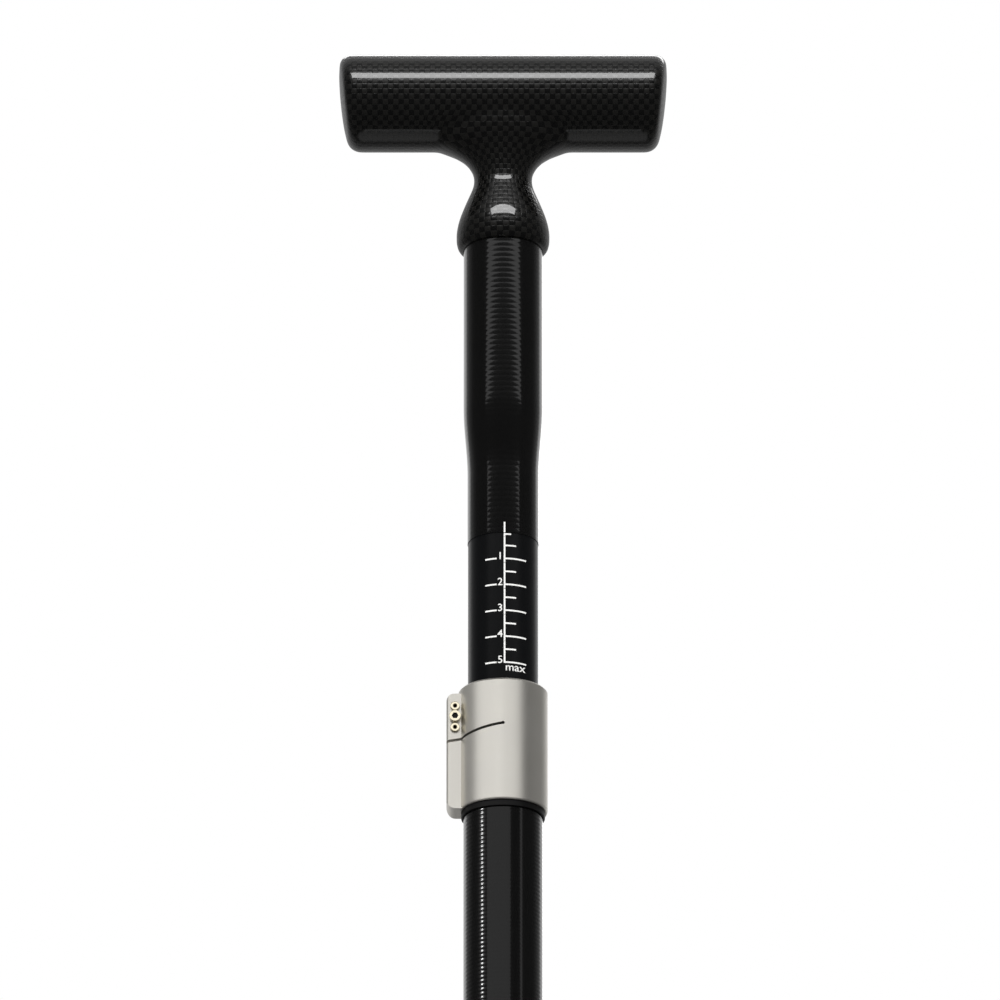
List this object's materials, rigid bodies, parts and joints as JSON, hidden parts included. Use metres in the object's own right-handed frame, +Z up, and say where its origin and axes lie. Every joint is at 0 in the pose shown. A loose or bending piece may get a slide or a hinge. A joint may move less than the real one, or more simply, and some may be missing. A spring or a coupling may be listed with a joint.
{
  "type": "beach sand scoop",
  "caption": "Long-handled sand scoop: perforated stainless bucket with foot step on a carbon shaft, T-grip drawn out through a quick-release clamp.",
  "frame": {"origin": "where the shaft's axis meets the outer face of the bucket's sole", "axes": "+Z up the shaft's axis to the T-grip; +X along the T-grip; +Y ahead of the user, where the bucket opens; the printed scale faces -Y"},
  "size_m": [0.156, 0.1693, 1.2132],
  "materials": {
    "carbon_weave": "clear-coated carbon twill moulding, glossy",
    "carbon_tube": "black wound carbon tube with fine ring ridges, semi-gloss",
    "ferrule_carbon": "smooth black carbon tube with a printed white scale, satin",
    "rubber_black": "matt black rubber",
    "nylon_black": "black nylon, matt",
    "clamp_metal": "fine-blasted silver aluminium",
    "lever_metal": "polished silver aluminium",
    "small_steel": "turned stainless steel",
    "socket_steel": "brushed stainless steel",
    "bucket_steel": "brushed stainless sheet",
    "rim_steel": "polished stainless rod",
    "lip_steel": "ground stainless plate, worn at the edge",
    "fastener_steel": "bright stainless fasteners"
  },
  "bodies": {
    "lower": {"clamp_body": "clamp_metal", "clamp_sleeve": "nylon_black", "guide_pins": "small_steel", "tension_bolt": "small_steel", "cam_pad": "nylon_black", "lever_pin": "small_steel", "lower_tube": "carbon_tube", "tube_plug": "rubber_black", "socket_tube": "socket_steel", "cross_bolts": "fastener_steel", "cross_washers": "fastener_steel", "cross_nuts": "fastener_steel", "front_gusset": "socket_steel", "rear_gusset": "socket_steel", "foot_step": "socket_steel", "step_braces": "socket_steel", "sole_plate": "bucket_steel", "left_bevel": "bucket_steel", "right_bevel": "bucket_steel", "left_side": "bucket_steel", "right_side": "bucket_steel", "back_plate": "bucket_steel", "hood_plate": "bucket_steel", "hood_rod": "rim_steel", "left_rim": "rim_steel", "right_rim": "rim_steel", "digging_lip": "lip_steel"},
    "wiper": {"wiper_ring": "rubber_black"},
    "handle": {"t_grip": "carbon_weave", "handle_tube": "carbon_tube", "scale_ferrule": "ferrule_carbon", "ferrule_plug": "rubber_black"},
    "lever": {"cam_lever": "lever_metal"},
    "nut": {"tension_nut": "small_steel"}
  },
  "joints": [
    {"name": "handle_swivel", "type": "hinge", "parent": "lower", "child": "wiper", "pos_m": [0, 0, 0.875], "axis": [0, 0, 1], "continuous": true},
    {"name": "handle_slide", "type": "slide", "parent": "wiper", "child": "handle", "axis": [0, 0, 1], "range_m": [-0.0565, 0]},
    {"name": "clamp_lever", "type": "hinge", "parent": "lower", "child": "lever", "pos_m": [-0.0173, 0.0096, 0.8684], "axis": [0, 0, 1], "range_deg": [0, 100]},
    {"name": "tension_nut_turn", "type": "hinge", "parent": "lower", "child": "nut", "pos_m": [-0.0173, -0.0066, 0.8684], "axis": [0, -1, 0], "continuous": true}
  ]
}
